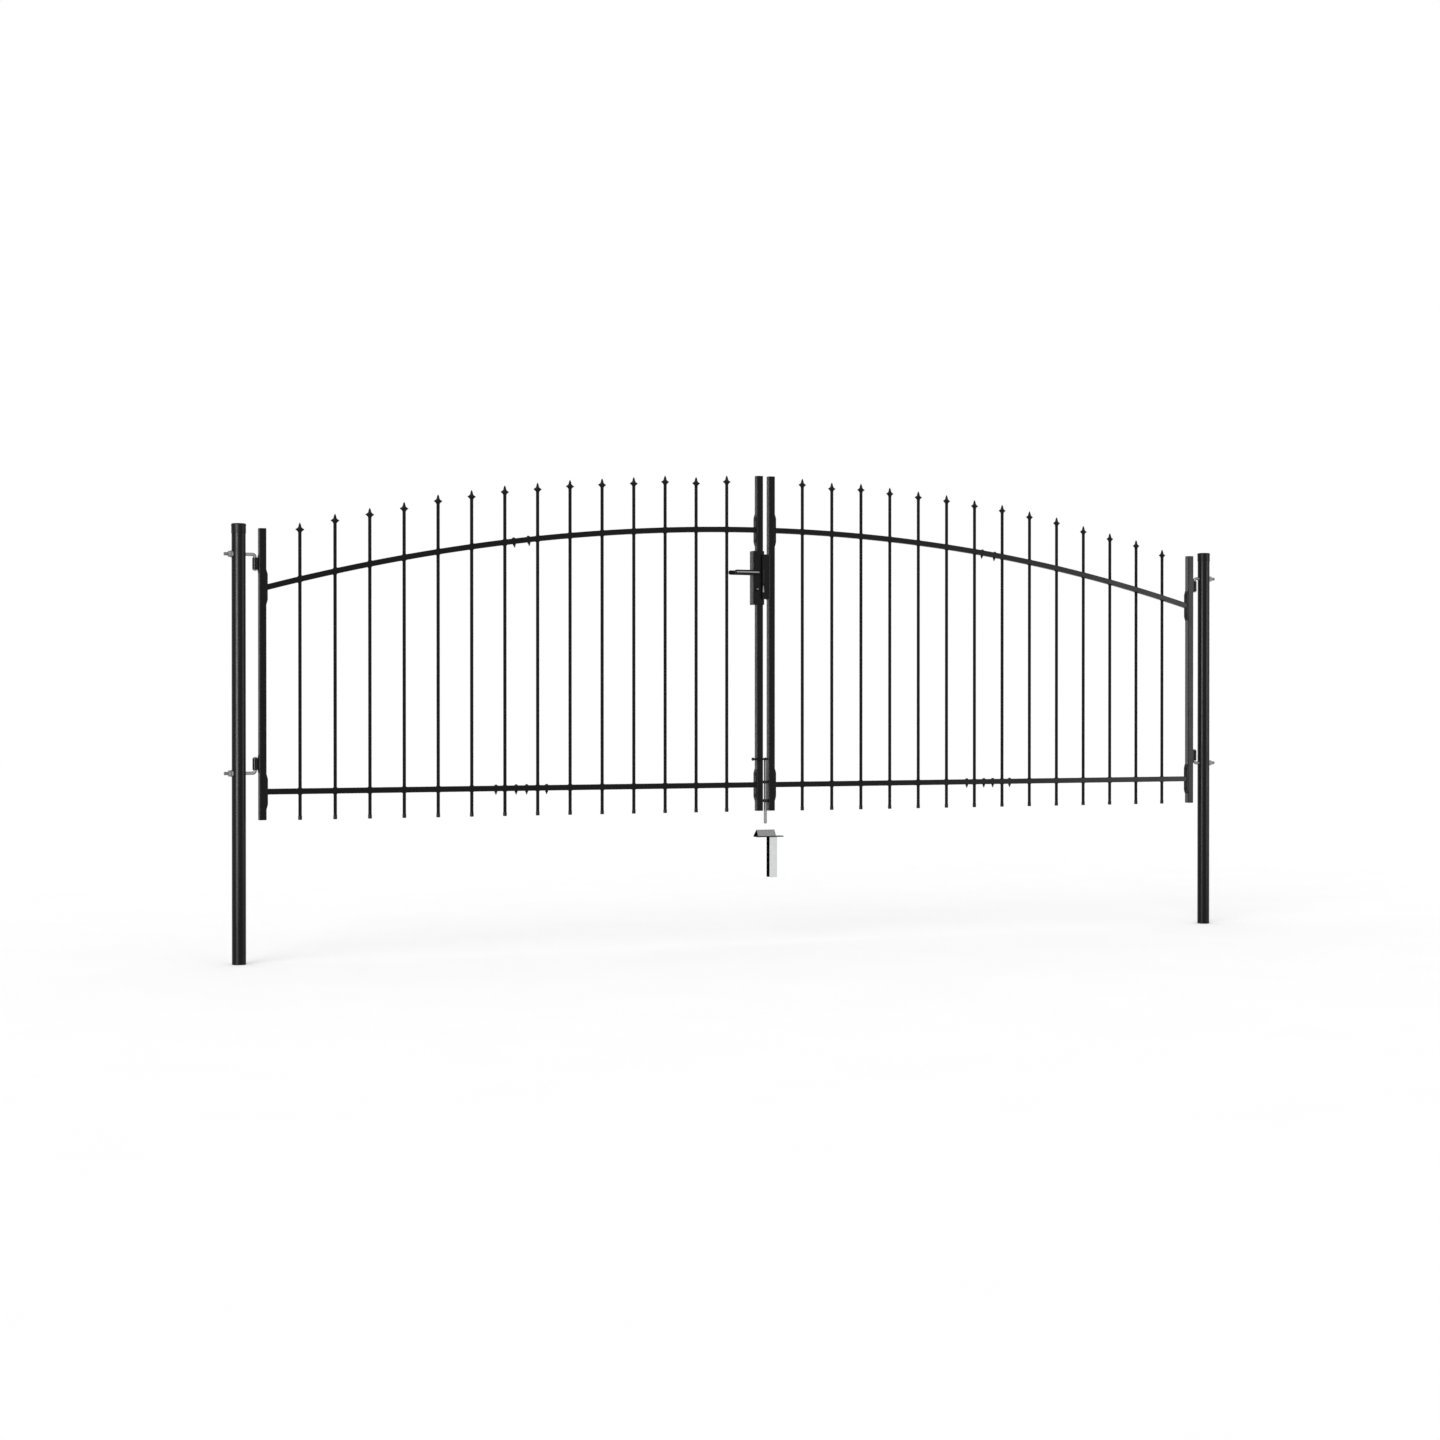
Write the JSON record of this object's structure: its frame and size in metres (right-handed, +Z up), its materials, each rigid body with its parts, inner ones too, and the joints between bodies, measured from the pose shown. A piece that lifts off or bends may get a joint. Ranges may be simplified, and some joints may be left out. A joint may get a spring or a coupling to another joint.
{
  "type": "arched double-leaf driveway gate",
  "caption": "Arched double-leaf driveway gate in black powder-coated steel tube, with spear-topped bars, round posts, hinge hooks, lever lock, drop bolt and zinc-plated ground socket.",
  "frame": {"origin": "centre of the left post's foot, on its lower face", "axes": "+X along the closed gate to the right post, +Y away from the front, +Z up"},
  "size_m": [4.054, 0.069, 1.751],
  "materials": {
    "powder_coated_steel": "black powder coat, semi-gloss",
    "black_plastic": "moulded, satin",
    "zinc_plated_steel": "bright zinc plated",
    "satin_metal": "satin"
  },
  "bodies": {
    "posts": {"left_post": "powder_coated_steel", "right_post": "powder_coated_steel", "left_post_cap": "black_plastic", "right_post_cap": "black_plastic", "left_upper_hook": "zinc_plated_steel", "left_lower_hook": "zinc_plated_steel", "right_upper_hook": "zinc_plated_steel", "right_lower_hook": "zinc_plated_steel", "left_hook_nuts": "zinc_plated_steel", "right_hook_nuts": "zinc_plated_steel", "socket_ramp": "zinc_plated_steel", "socket_plate": "zinc_plated_steel", "socket_anchor": "zinc_plated_steel"},
    "left_leaf": {"left_hinge_stile": "powder_coated_steel", "left_meeting_stile": "powder_coated_steel", "left_stile_caps": "black_plastic", "left_outer_panel": "powder_coated_steel", "left_inner_panel": "powder_coated_steel", "left_splice_sleeves": "powder_coated_steel", "left_end_plates": "powder_coated_steel", "left_upper_eye": "powder_coated_steel", "left_lower_eye": "powder_coated_steel", "lock_case": "powder_coated_steel", "lock_cylinder": "powder_coated_steel"},
    "right_leaf": {"right_hinge_stile": "powder_coated_steel", "right_meeting_stile": "powder_coated_steel", "right_stile_caps": "black_plastic", "right_outer_panel": "powder_coated_steel", "right_inner_panel": "powder_coated_steel", "right_splice_sleeves": "powder_coated_steel", "right_end_plates": "powder_coated_steel", "right_upper_eye": "powder_coated_steel", "right_lower_eye": "powder_coated_steel", "lock_keep": "powder_coated_steel", "bolt_guides": "powder_coated_steel"},
    "lever": {"lock_lever": "black_plastic"},
    "latch": {"lock_latch": "satin_metal"},
    "bolt": {"drop_bolt": "zinc_plated_steel"}
  },
  "joints": [
    {"name": "left_leaf_swing", "type": "hinge", "parent": "posts", "child": "left_leaf", "pos_m": [0.056, 0, 0.656], "axis": [0, 0, 1], "range_deg": [0, 95]},
    {"name": "right_leaf_swing", "type": "hinge", "parent": "posts", "child": "right_leaf", "pos_m": [3.907, 0, 0.656], "axis": [0, 0, -1], "range_deg": [0, 95]},
    {"name": "lever_turn", "type": "hinge", "parent": "left_leaf", "child": "lever", "pos_m": [1.943, 0, 1.388], "axis": [0, -1, 0], "range_deg": [0, 45], "stiffness_Nm_per_rad": 2, "springref_deg": -17.19},
    {"name": "latch_slide", "type": "slide", "parent": "left_leaf", "child": "latch", "axis": [-1, 0, 0], "range_m": [0, 0.011]},
    {"name": "bolt_drop", "type": "slide", "parent": "right_leaf", "child": "bolt", "axis": [0, 0, -1], "range_m": [0, 0.07]}
  ],
  "couplings": [
    {"joint": "latch_slide", "follows": "lever_turn", "m_per_rad": 0.014}
  ]
}
